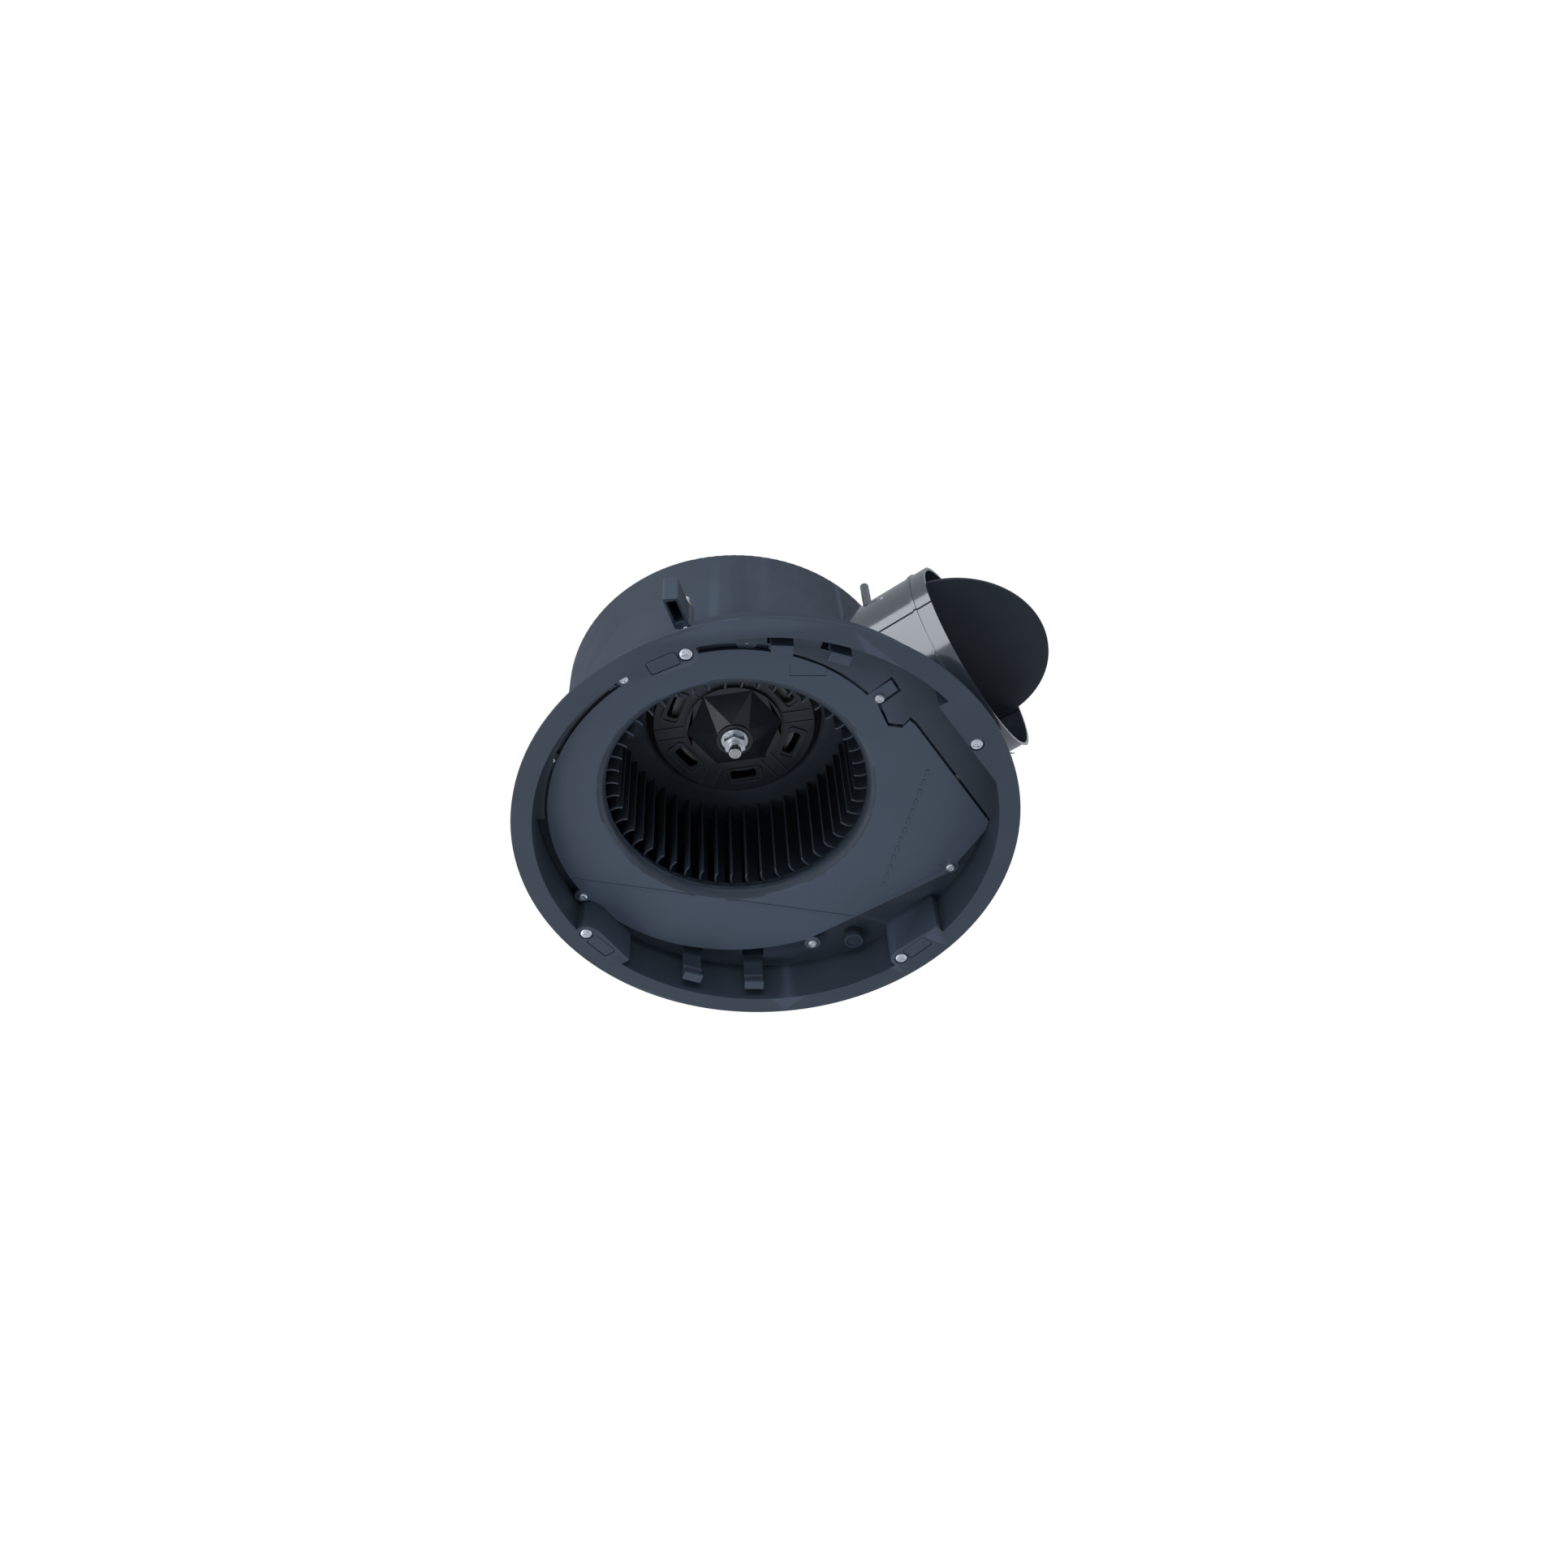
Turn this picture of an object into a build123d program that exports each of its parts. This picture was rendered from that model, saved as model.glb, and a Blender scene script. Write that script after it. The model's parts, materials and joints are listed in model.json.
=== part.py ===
from build123d import *
import math
import os

# Side-ducted ceiling extractor fan. Millimetres, +Z up into the ceiling void.
# The origin is on the flange axis, in the plane of the flange's upper face, which bears on the ceiling.
# +X is the direction in which the duct spigot points.

# ---- driving dimensions -------------------------------------------------------------------------
FLANGE_R = 152.0          # outer radius of the ceiling flange
FLANGE_T = 2.0            # thickness of the flange
RECESS_R = 139.5          # inner radius of the recess wall
WALL_T = 2.0              # wall of every large moulding
FLOOR_LOW_Z = 21.0        # room face of the shallow part of the pan floor
FLOOR_HIGH_Z = 29.0       # room face of the deep part of the pan floor
LAND_X = 131.7            # edge of the widened flange land below the duct
LAND_Y = -20.3            # end of that land
STEP_ANGLE, STEP_SHIFT = 37.6, 8.0    # border between the two floor levels, direction and offset in y
PAD_R, PAD_SHIFT = 136.6, 5.75    # blank pads beside the clamp screws
PAD_W, PAD_L, PAD_T = 8.0, 17.5, 0.8

FAN_X, FAN_Y = -6.1, -21.0        # impeller axis
INLET_R = 79.5                    # throat of the inlet
INLET_LIP = 6.0                   # radius of the rolled lip round the throat
DRUM_X, DRUM_Y = -9.5, -15.7      # axis of the round housing
DRUM_R = 109.2                    # outer radius of the round housing
DRUM_BASE_Z = 23.0
DRUM_TOP_Z = 134.0
OUTLET_X = DRUM_X + DRUM_R        # flat outlet face, tangent to the drum
OUTLET_CORNER_R = 6.0

DUCT_Y, DUCT_Z = 10.7, 71.5       # duct axis, parallel to X
DUCT_R = 62.0                     # outside of the spigot, for 125 mm duct
DUCT_BORE_R = 60.0
DUCT_END_X = 152.0
DUCT_BEAD_X, DUCT_BEAD_W, DUCT_BEAD_H = 140.4, 2.0, 0.8    # stop bead for the flexible duct
GASKET_T = 0.8
SPIGOT_BASE_T = 3.0
SPIGOT_BASE_Y = (-12.0, 91.0)
SPIGOT_SCREW_Y = (84.0,)
SPIGOT_SCREW_Z = (38.0, 80.0, 122.0)
PEG = (111.5, -45.7)              # small upright peg on the shoulder of the spigot
PEG_R, PEG_TOP = 2.7, 117.0

FLAP_R = 57.6
FLAP_T = 1.6
FLAP_PIVOT_X = 122.7
FLAP_PIVOT_RISE = 15.3            # pivot height above the duct axis, and its distance from the disc centre
FLAP_TILT = 8.65                  # droop of the open flap's outer edge, degrees
FLAP_PIN_R = 1.5
FLAP_BARREL_R = 3.0

CLAMP_R = 137.0                   # pitch radius of the clamp screws
CLAMP_ANGLES = {"near": -74.0, "side": 85.0, "far": 180.6}
NICHE_R = 128.8                   # inner edge of each clamp's land, square to the screw's radius
NICHE_RUN = 34.0                  # how far that land runs clockwise of the screw
NICHE_SIDE = 6.5                  # and how far past the screw the other way
NICHE_CORNER_RUN = 3.0            # where the land's inner edge turns toward the flange, clockwise side
NICHE_BEND_IN = 6.0               # the slanting end's middle corner, inboard of the screw
NICHE_BEND_SIDE = 3.5             # and past the screw
NICHE_END_IN = 2.5                # outer corner of the slanting end, inboard of the screw
CLAMP_ARM_REACH, CLAMP_ARM_W, CLAMP_ARM_H = 22.0, 8.4, 23.0
CLAMP_ARM_OFFSET = 1.5            # sideways shift of the arm's channel from the screw axis, clockwise
CLAMP_ARM_TIP_SKEW = 16.0         # slant of the arm's tip, degrees
CLAMP_ARM_Z = 23.5                # underside of the arm
CLAMP_ARM_SKIN = 1.5
CLAMP_SCREW_R = 2.0
CLAMP_SCREW_TOP = 58.0
BUSH_R = 3.2
BUSH_DROP = 16.0                  # depth of the bush inside the arm
BUSH_RIM_T = 1.4
RUNNING_GAP = 0.05                # radial clearance of a running fit
BIG_HEAD_R, BIG_HEAD_H = 3.9, 2.3
POCKET_R, POCKET_Z = 4.3, 0.4     # pocket that keeps a large screw head flush with the room face
POCKET_BOSS_R, POCKET_BOSS_Z = 6.0, 2.4

IMPELLER_IN_R, IMPELLER_OUT_R = 72.0, 86.0
IMPELLER_Z0, IMPELLER_Z1 = 30.0, 104.0
BLADES = 48
BLADE_T = 1.2
BLADE_LEAN = 6.5                  # sideways run of a blade from root to tip
END_RING_T = 3.0
HUB_RING_Z = 94.0                 # room face of the slotted ring
HUB_RING_R = 52.0
HUB_RIM_R = 59.0
HUB_CONE_R, HUB_COLLAR_R = 31.0, 11.5
HUB_CONE_Z, HUB_COLLAR_Z = 91.5, 78.5
HUB_SLOTS = 6
HUB_PHASE = -3.5                  # azimuth of the first hub slot
SHAFT_R = 4.0
SHAFT_Z0, SHAFT_Z1 = 63.0, 127.0

MOTOR_R = 41.0
ROTOR_R = 20.5
BEARING_R = 9.0
BELL_Z0, CORE_Z0, CORE_Z1 = 99.0, 107.0, 118.0
MOTOR_PLATE_Z = 125.0
MOTOR_PLATE_T = 1.6
MOTOR_BOLT_R = 48.0
GROMMET_TOP = 4.0                 # rise of a grommet above the motor plate

HOOK_ANGLES = (-51.5, -37.2, 128.0, 146.2)
HOOK_R = 130.5
HOOK_WINDOW_R, HOOK_WINDOW_L, HOOK_WINDOW_W = 125.8, 9.0, 14.0    # mould window above each hook's lip
HOOK_HOOD_H, HOOD_T = 7.0, 1.5    # height and wall of the blind hood over each window
EAR_R = 5.2
PLATE_CLEAR_R = 1.25
RIB_ROW = ((96.0, 33.0), (27.0, 94.0))    # row of small grip ribs on the room face of the plate
PLATE_GAP = 1.6                   # gap between the inlet plate's edge and the pan floor
PLATE_SCREW_L = 5.2
SCROLL_START = -67.0              # where the plate's spiral starts, seen from the fan axis
WIDE_SLOTS = ((-66.5, -45.0, 4.2), (-131.0, -98.0, 2.4))    # wider stretches of that gap: from, to, width
CREASE = ((-127.8, -27.3), (-0.4, 108.4))    # thin ridge across the plate
POST = (-14.7, 124.9)             # blank post on the deep floor
BLANK_PANEL = ((72.7, -80.5), (89.4, -68.3), (84.9, -61.3), (68.1, -73.6))    # shallow panel in the plate
PLATE_SCREWS = ((101.7, -30.5), (69.8, 106.3), (-37.5, 109.9), (-132.6, -12.3), (-9.1, -128.1))
SPIGOT_SCREW = (136.0, 15.6)
LUG_ANGLES = (-128.0, -52.0, 128.0, 165.0)
LUG_R = 6.0

TERMINAL_X0, TERMINAL_X1 = -36.0, 36.0
TERMINAL_Y0, TERMINAL_Y1 = 95.0, 124.0
TERMINAL_Z0, TERMINAL_Z1 = 31.0, 74.0
GLAND_Y, GLAND_Z, GLAND_R = 111.0, 55.0, 6.0
LEAD_Y = FAN_Y + 95.0             # lead grommet in the top of the housing
LEAD_HOLE_R = 6.5

LOW = (Align.CENTER, Align.CENTER, Align.MIN)
CORNER = (Align.MIN, Align.MIN, Align.MIN)


# ---- small helpers ------------------------------------------------------------------------------
def polar(r, deg, cx=0.0, cy=0.0):
    return (cx + r * math.cos(math.radians(deg)), cy + r * math.sin(math.radians(deg)))


def rod(r, z0, z1, x=0.0, y=0.0):
    return Pos(x, y, z0) * Cylinder(r, z1 - z0, align=LOW)


def ring(r_out, r_in, z0, z1, x=0.0, y=0.0):
    return rod(r_out, z0, z1, x, y) - rod(r_in, z0 - 1, z1 + 1, x, y)


def fan_ring(r_out, r_in, z0, z1):
    return ring(r_out, r_in, z0, z1, FAN_X, FAN_Y)


def block(x0, x1, y0, y1, z0, z1):
    return Pos(x0, y0, z0) * Box(x1 - x0, y1 - y0, z1 - z0, align=CORNER)


def prism(sketch, z0, z1):
    return Pos(0, 0, z0) * extrude(sketch, z1 - z0)


def along_x(r, x0, x1, y, z):
    return Pos((x0 + x1) / 2, y, z) * Rot(0, 90, 0) * Cylinder(r, x1 - x0)


def along_duct(r, x0, x1):
    return along_x(r, x0, x1, DUCT_Y, DUCT_Z)


def screw(head_r, head_h, shank_r, z_head, length, x, y):
    """A pan-head screw that points up: its head hangs below z_head."""
    head = rod(head_r, z_head - head_h, z_head, x, y)
    head = chamfer(head.edges().group_by(Axis.Z)[0], head_h * 0.35)
    cross = Box(head_r * 1.3, head_r * 0.28, head_h * 0.8) + Box(head_r * 0.28, head_r * 1.3, head_h * 0.8)
    return head + rod(shank_r, z_head, z_head + length, x, y) - Pos(x, y, z_head - head_h) * cross


def cap_screw(head_r, head_h, shank_r, z_head, length, x, y):
    """A plain-headed screw that points down: its head stands above z_head."""
    return rod(head_r, z_head, z_head + head_h, x, y) + rod(shank_r, z_head - length, z_head, x, y)


def in_deep_side(x, y):
    return y > math.tan(math.radians(STEP_ANGLE)) * x + STEP_SHIFT


def save(name, *solids):
    shape = solids[0] if len(solids) == 1 else Compound(children=list(solids))
    shape.label = name
    export_step(shape, os.path.join("parts", name + ".step"))


# ---- outlines seen from below -------------------------------------------------------------------
def recess_outline(gap=0.0):
    """Room-side opening of the flange: a circle without the clamp niches and the duct land."""
    outline = Circle(RECESS_R - gap)
    far = FLANGE_R + 20.0
    land = make_face(Polyline(
        (NICHE_R, -NICHE_RUN), (NICHE_R, -NICHE_CORNER_RUN), (CLAMP_R - NICHE_BEND_IN, NICHE_BEND_SIDE),
        (CLAMP_R - NICHE_END_IN, NICHE_SIDE), (far, NICHE_SIDE), (far, -NICHE_RUN), close=True,
    ))
    if gap != 0.0:
        land = offset(land, gap, kind=Kind.INTERSECTION)
    for angle in CLAMP_ANGLES.values():
        outline -= Rot(0, 0, angle) * land
    land_w, land_h = 30.0, 90.0
    land = Rectangle(land_w + 2 * gap, land_h + 2 * gap)
    outline -= Pos(LAND_X + land_w / 2, LAND_Y + land_h / 2) * land
    return outline


def scroll_point(swept, inset=0.0):
    """Edge of the inlet plate: an arc that swells smoothly into a wider one as it sweeps clockwise."""
    base_r, growth, delay, span = 104.0, 26.0, 22.0, 130.0
    share = min(1.0, max(0.0, (swept - delay) / span))
    radius = base_r + growth * share ** 2 * (3 - 2 * share) - inset
    return polar(radius, SCROLL_START - swept, FAN_X, FAN_Y)


def plate_outline(inset=0.0):
    arc_start, arc_mid, spiral_end, turns = -58.5, -30.0, 189.0, 18
    arc = ThreePointArc(
        scroll_point(arc_start, inset), scroll_point(arc_mid, inset), scroll_point(0.0, inset)
    )
    spiral = Spline(*[scroll_point(spiral_end / turns * n, inset) for n in range(turns + 1)])
    slope = 0.4
    edge = Polyline(
        scroll_point(spiral_end, inset),
        (66.0 - slope * inset, 110.0 - inset),
        (107.6 - inset, 91.1 - slope * inset),
        (108.5 - inset, -1.4 + inset),
        (107.5 - inset, -6.5 + inset),
        (101.3 - inset, -4.5 + inset),
        (95.0 - inset, -10.6 + inset),
        (98.2 - inset, -27.5 - inset),
        (113.0 - inset, -29.0 - inset),
        (113.5 - inset, -37.2 + inset),
        scroll_point(arc_start, inset),
    )
    return make_face(Curve() + [arc, spiral, edge])


def plate_with_ears(inset=0.0):
    face = plate_outline(inset)
    for x, y in PLATE_SCREWS[1:]:
        face += Pos(x, y) * Circle(EAR_R - inset)
    return face


def drum_outline(inset=0.0):
    """Housing outline: a round drum with one square corner that makes the flat outlet face."""
    width = OUTLET_X - DRUM_X - inset
    corner = Pos(DRUM_X + width / 2, DRUM_Y + width / 2) * Rectangle(width, width)
    tip = corner.vertices().sort_by(Axis.X)[-2:].sort_by(Axis.Y)[-1]
    corner = fillet(tip, OUTLET_CORNER_R - inset)
    return Pos(DRUM_X, DRUM_Y) * Circle(DRUM_R - inset) + corner


def deep_side(shift=0.0):
    """Half plane that holds the deep part of the pan floor, on the side away from the low corner."""
    span = 400.0
    offset_y = (STEP_SHIFT + shift) * math.cos(math.radians(STEP_ANGLE))
    return Rot(0, 0, STEP_ANGLE) * Pos(0, span / 2 + offset_y) * Rectangle(span, span)


# ---- ceiling pan --------------------------------------------------------------------------------
def post_region(x, y, low_r, deep_r):
    """Boss that takes one plate screw: a post below the deep floor, or a cap over the shallow one."""
    if in_deep_side(x, y):
        return rod(deep_r, FLOOR_LOW_Z + WALL_T, FLOOR_HIGH_Z, x, y)
    return rod(low_r, FLOOR_LOW_Z + WALL_T, FLOOR_HIGH_Z, x, y)


def wide_slots(margin):
    """Stretches where the gap beside the round part of the plate is wider, grown by a margin."""
    slots = Sketch()
    under_plate = 1.0
    for start, end, width in WIDE_SLOTS:
        azimuths = (start - margin, (start + end) / 2, end + margin)
        outer = [scroll_point(SCROLL_START - azimuth, -width - margin) for azimuth in azimuths]
        inner = [scroll_point(SCROLL_START - azimuth, under_plate) for azimuth in azimuths]
        edges = [ThreePointArc(*outer), Line(outer[2], inner[2])]
        edges += [ThreePointArc(*reversed(inner)), Line(inner[0], outer[0])]
        slots += make_face(edges)
    return slots


def gap_cover(region):
    """Lip that roofs over the gap round the plate, on the shallow side and outside the housing."""
    low_top = FLOOR_LOW_Z + WALL_T
    roof_z, roof_t, overhang, clearance = 25.2, 1.5, 4.0, 0.2
    gap_edge = plate_with_ears(-PLATE_GAP) + wide_slots(0.0)
    outer_edge = plate_with_ears(-PLATE_GAP - roof_t) + wide_slots(roof_t)
    lip = prism((outer_edge - gap_edge) & region, low_top - 0.5, roof_z + roof_t)
    lip += prism((outer_edge - plate_with_ears(overhang)) & region, roof_z, roof_z + roof_t)
    lip -= along_duct(DUCT_R + clearance, 60, 200) - along_duct(DUCT_BORE_R - clearance, 50, 210)
    lip -= rod(4.4 + clearance, low_top - 1, FLOOR_HIGH_Z + 1, *PLATE_SCREWS[0])
    for x, y, z0 in lug_places():
        lip -= rod(LUG_R + clearance, z0, z0 + HOOK_HOOD_H, x, y)
    return lip


def ceiling_flange():
    opening = recess_outline()
    outer_wall = recess_outline(-WALL_T)
    deep = deep_side()
    low_top = FLOOR_LOW_Z + WALL_T
    deep_top = FLOOR_HIGH_Z + WALL_T
    plate_hole = plate_with_ears(-PLATE_GAP) + wide_slots(0.0)
    drum_inner = Pos(DRUM_X, DRUM_Y) * Circle(DRUM_R - WALL_T)
    drum_hole = drum_outline(-0.1)
    slot_end_x, slot_w = 93.0, 114.0
    slot = drum_inner - Pos(slot_end_x + slot_w / 2, 0) * Rectangle(slot_w, 3 * slot_w)

    pan = prism(Circle(FLANGE_R) - opening, -FLANGE_T, 0)
    wall = outer_wall - opening
    pan += prism(wall, -FLANGE_T, low_top)
    pan += prism(wall & deep, low_top, deep_top)
    pan += prism(outer_wall - deep - plate_hole - slot, FLOOR_LOW_Z, low_top)
    pan += prism((outer_wall & deep) - drum_hole, FLOOR_HIGH_Z, deep_top)
    web = (outer_wall & deep) - deep_side(WALL_T) - plate_hole - drum_hole
    pan += prism(web, FLOOR_LOW_Z, deep_top)
    pan += gap_cover(outer_wall - deep - drum_hole)

    cap_r, post_r, pilot_r = 9.0, 4.4, 1.25
    for x, y in PLATE_SCREWS[1:]:
        boss = post_region(x, y, cap_r, post_r)
        pan += boss & prism(outer_wall - drum_hole, FLOOR_LOW_Z, deep_top)
        pan -= rod(pilot_r, low_top - 0.1, low_top + PLATE_SCREW_L, x, y)
    for angle in HOOK_ANGLES:
        x, y = polar(HOOK_R, angle)
        floor_z = FLOOR_HIGH_Z if in_deep_side(x, y) else FLOOR_LOW_Z
        seat = Rot(0, 0, angle) * Pos(HOOK_WINDOW_R, 0, floor_z)
        hood_l, hood_w = HOOK_WINDOW_L + 2 * HOOD_T, HOOK_WINDOW_W + 2 * HOOD_T
        pan += seat * Pos(0, 0, 1) * Box(hood_l, hood_w, HOOK_HOOD_H + HOOD_T - 1, align=LOW)
        pan -= seat * Pos(0, 0, -1) * Box(HOOK_WINDOW_L, HOOK_WINDOW_W, HOOK_HOOD_H + 1, align=LOW)
    triangle = make_face(Polyline((126.2, -4.7), (131.4, -4.7), (130.6, -16.1), close=True))
    pan -= prism(triangle, FLOOR_LOW_Z - 1, low_top + 1)

    centres = [polar(CLAMP_R, angle) for angle in CLAMP_ANGLES.values()] + [SPIGOT_SCREW]
    for x, y in centres:
        pan += rod(POCKET_BOSS_R, -0.1, POCKET_BOSS_Z, x, y) - prism(opening, -1, 3)
        pan -= rod(POCKET_R, -FLANGE_T - 1, POCKET_Z, x, y)
        pan -= rod(CLAMP_SCREW_R + RUNNING_GAP, -FLANGE_T, POCKET_BOSS_Z + 1, x, y)
    x, y = POST
    post_r, dish_r, dish = 6.0, 4.8, 0.8
    pan += rod(post_r, FLOOR_LOW_Z, FLOOR_HIGH_Z, x, y) - rod(dish_r, 0, FLOOR_LOW_Z + dish, x, y)
    for seat in pad_frames():
        pan -= seat * Pos(0, 0, -1) * extrude(RectangleRounded(PAD_W + 1.0, PAD_L + 1.0, 1.9), PAD_T + 1)
    return pan


def pad_frames():
    """Places of the blank cover pads beside the clamp screws, flush with the room face."""
    return [Rot(0, 0, angle - PAD_SHIFT) * Pos(PAD_R, 0, -FLANGE_T) for angle in CLAMP_ANGLES.values()]


def clamp_pads():
    pad = extrude(RectangleRounded(PAD_W, PAD_L, 1.4), PAD_T)
    return [seat * pad for seat in pad_frames()]


def fascia_hooks():
    """Straps that hang from the pan floor and catch the wire springs of the fascia."""
    strap_t, strap_w, lip, toe_t = 2.4, 12.5, 4.2, 2.2
    tip_z = 0.5
    solids = []
    for angle in HOOK_ANGLES:
        x, y = polar(HOOK_R, angle)
        root_z = FLOOR_HIGH_Z if in_deep_side(x, y) else FLOOR_LOW_Z
        hook = Pos(HOOK_R + strap_t / 2, 0, tip_z) * Box(strap_t, strap_w, root_z - tip_z, align=LOW)
        hook += Pos(HOOK_R - lip / 2 + 0.1, 0, tip_z) * Box(lip, strap_w, toe_t, align=LOW)
        hook += Pos(HOOK_R - 0.6, 0, 4 * toe_t) * Box(1.4, strap_w, toe_t, align=LOW)
        solids.append(Rot(0, 0, angle) * hook)
    return solids


# ---- inlet plate --------------------------------------------------------------------------------
def bellmouth():
    lip_z = FLOOR_LOW_Z + INLET_LIP
    mouth_r = INLET_R + INLET_LIP
    inner = INLET_LIP - WALL_T
    k = math.sqrt(0.5)
    outer_arc = ThreePointArc(
        (mouth_r, FLOOR_LOW_Z), (mouth_r - INLET_LIP * k, lip_z - INLET_LIP * k), (INLET_R, lip_z)
    )
    rim = Line((INLET_R, lip_z), (INLET_R + WALL_T, lip_z))
    inner_arc = ThreePointArc(
        (INLET_R + WALL_T, lip_z), (mouth_r - inner * k, lip_z - inner * k), (mouth_r, FLOOR_LOW_Z + WALL_T)
    )
    edge = Line((mouth_r, FLOOR_LOW_Z + WALL_T), (mouth_r, FLOOR_LOW_Z))
    profile = Plane.XZ * make_face(Curve() + [outer_arc, rim, inner_arc, edge])
    return Pos(FAN_X, FAN_Y, 0) * revolve(profile, Axis.Z, 360)


def inlet_plate():
    plate_top = FLOOR_LOW_Z + WALL_T
    recess = recess_outline(0.5)
    face = plate_with_ears() & recess
    hole = Pos(FAN_X, FAN_Y) * Circle(INLET_R + INLET_LIP - 0.01)
    plate = prism(face - hole, FLOOR_LOW_Z, plate_top) + bellmouth()
    skirt = (plate_outline() - plate_outline(WALL_T)) & deep_side(WALL_T + 0.5) & recess
    posts = Sketch() + [Pos(x, y) * Circle(EAR_R) for x, y in PLATE_SCREWS]
    plate += prism(skirt - posts, plate_top, FLOOR_HIGH_Z)
    rib_w, rib_l, rib_h, count = 1.4, 5.0, 0.5, 13
    (x0, y0), (x1, y1) = RIB_ROW
    for n in range(count):
        t = n / (count - 1)
        rib = Rot(0, 0, -49.0) * Box(rib_l, rib_w, 2 * rib_h)
        plate += Pos(x0 + (x1 - x0) * t, y0 + (y1 - y0) * t, FLOOR_LOW_Z) * rib
    (x0, y0), (x1, y1) = CREASE
    crease_w, crease_h = 0.9, 0.5
    turn = math.degrees(math.atan2(y1 - y0, x1 - x0))
    crease = Rot(0, 0, turn) * Rectangle(math.hypot(x1 - x0, y1 - y0), crease_w)
    crease = Pos((x0 + x1) / 2, (y0 + y1) / 2) * crease & plate_outline(1.0) & recess
    plate += prism(crease - hole, FLOOR_LOW_Z - crease_h, FLOOR_LOW_Z)
    plate -= prism(make_face(Polyline(*BLANK_PANEL, close=True)), 0, FLOOR_LOW_Z + 0.4)
    for x, y in PLATE_SCREWS:
        plate -= rod(PLATE_CLEAR_R, 0, plate_top + 1, x, y)
    return plate


def plate_screws():
    return [screw(2.8, 2.0, 1.25, FLOOR_LOW_Z, PLATE_SCREW_L, x, y) for x, y in PLATE_SCREWS]


# ---- housing ------------------------------------------------------------------------------------
def motor_bolt_centres():
    return [polar(MOTOR_BOLT_R, 45 + 90 * step, FAN_X, FAN_Y) for step in range(4)]


def lug_places():
    """Centre and underside of each foot that screws the housing to the pan floor."""
    places = []
    for angle in LUG_ANGLES:
        x, y = polar(DRUM_R + 5.0, angle, DRUM_X, DRUM_Y)
        floor_z = FLOOR_HIGH_Z if in_deep_side(x, y) else FLOOR_LOW_Z
        places.append((x, y, floor_z + WALL_T))
    return places


def scroll_casing():
    outer = drum_outline()
    inner = drum_outline(WALL_T)
    roof_z = DRUM_TOP_Z - WALL_T
    lug_t = 3.0
    casing = prism(outer, DRUM_BASE_Z, DRUM_TOP_Z)
    casing = fillet(casing.edges().group_by(Axis.Z)[-1], 1.5)
    for x, y, z0 in lug_places():
        casing += rod(LUG_R, z0, z0 + lug_t, x, y)
    casing -= prism(inner, DRUM_BASE_Z - 1, roof_z)
    casing -= along_duct(DUCT_BORE_R, 60, 200) & block(60, 200, -200, 200, DRUM_BASE_Z + WALL_T, roof_z)
    for x, y in motor_bolt_centres():
        casing += rod(5.0, MOTOR_PLATE_Z + GROMMET_TOP, roof_z, x, y)
        casing -= rod(1.5, MOTOR_PLATE_Z, roof_z, x, y)
    for x, y, z0 in lug_places():
        casing -= rod(1.5, z0 - 1, z0 + lug_t + 1, x, y)
    rib_h, rib_count = 1.6, 8
    hoop = ring(64.0, 62.0, roof_z + 1, DRUM_TOP_Z + rib_h, FAN_X, FAN_Y)
    for step in range(rib_count):
        rib = Pos(76.0, 0, roof_z + 1) * Box(26.0, 2.0, WALL_T - 1 + rib_h, align=LOW)
        hoop += Pos(FAN_X, FAN_Y, 0) * Rot(0, 0, 22.5 + 45 * step) * rib
    casing += hoop
    return casing - rod(LEAD_HOLE_R, roof_z - 1, DRUM_TOP_Z + rib_h + 1, FAN_X, LEAD_Y)


def casing_screws():
    return [cap_screw(3.0, 2.0, 1.5, z0 + 3.0, 3.0, x, y) for x, y, z0 in lug_places()]


# ---- duct spigot and its flap -------------------------------------------------------------------
def spigot_screw_places():
    x = OUTLET_X + GASKET_T + SPIGOT_BASE_T
    return [(x, y, z) for y in SPIGOT_SCREW_Y for z in SPIGOT_SCREW_Z]


def duct_spigot():
    low_top = FLOOR_LOW_Z + WALL_T
    x0 = OUTLET_X + GASKET_T
    clear_top = low_top + 0.1
    spigot = along_duct(DUCT_R, DRUM_X + DRUM_R / 2, DUCT_END_X)
    spigot += along_duct(DUCT_R + DUCT_BEAD_H, DUCT_BEAD_X, DUCT_BEAD_X + DUCT_BEAD_W)
    base = block(x0, x0 + SPIGOT_BASE_T, *SPIGOT_BASE_Y, FLOOR_HIGH_Z + WALL_T + 0.5, DRUM_TOP_Z - 4)
    spigot += fillet(base.edges().filter_by(Axis.X), 5.0)
    spigot += rod(4.4, clear_top, FLOOR_HIGH_Z, *PLATE_SCREWS[0])
    spigot += rod(5.5, POCKET_BOSS_Z, DUCT_Z - DUCT_R + 2, *SPIGOT_SCREW)
    spigot += rod(PEG_R, DUCT_Z + 20, PEG_TOP, *PEG)
    spigot -= along_duct(DUCT_BORE_R, 0, DUCT_END_X + 1)
    spigot -= prism(drum_outline(-GASKET_T), 0, DRUM_TOP_Z + 10)
    spigot -= prism(recess_outline(-WALL_T - 0.1), -50, clear_top)
    spigot -= rod(1.6, -1, POCKET_BOSS_Z + 6, *SPIGOT_SCREW)
    spigot -= rod(1.25, 0, low_top + PLATE_SCREW_L, *PLATE_SCREWS[0])
    pivot_z = DUCT_Z + FLAP_PIVOT_RISE
    spigot -= Pos(FLAP_PIVOT_X, DUCT_Y, pivot_z) * Rot(90, 0, 0) * Cylinder(FLAP_PIN_R, 2 * DUCT_R)
    for x, y, z in spigot_screw_places():
        spigot -= along_x(1.5, x - 5, x + 1, y, z)
    return spigot


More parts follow.
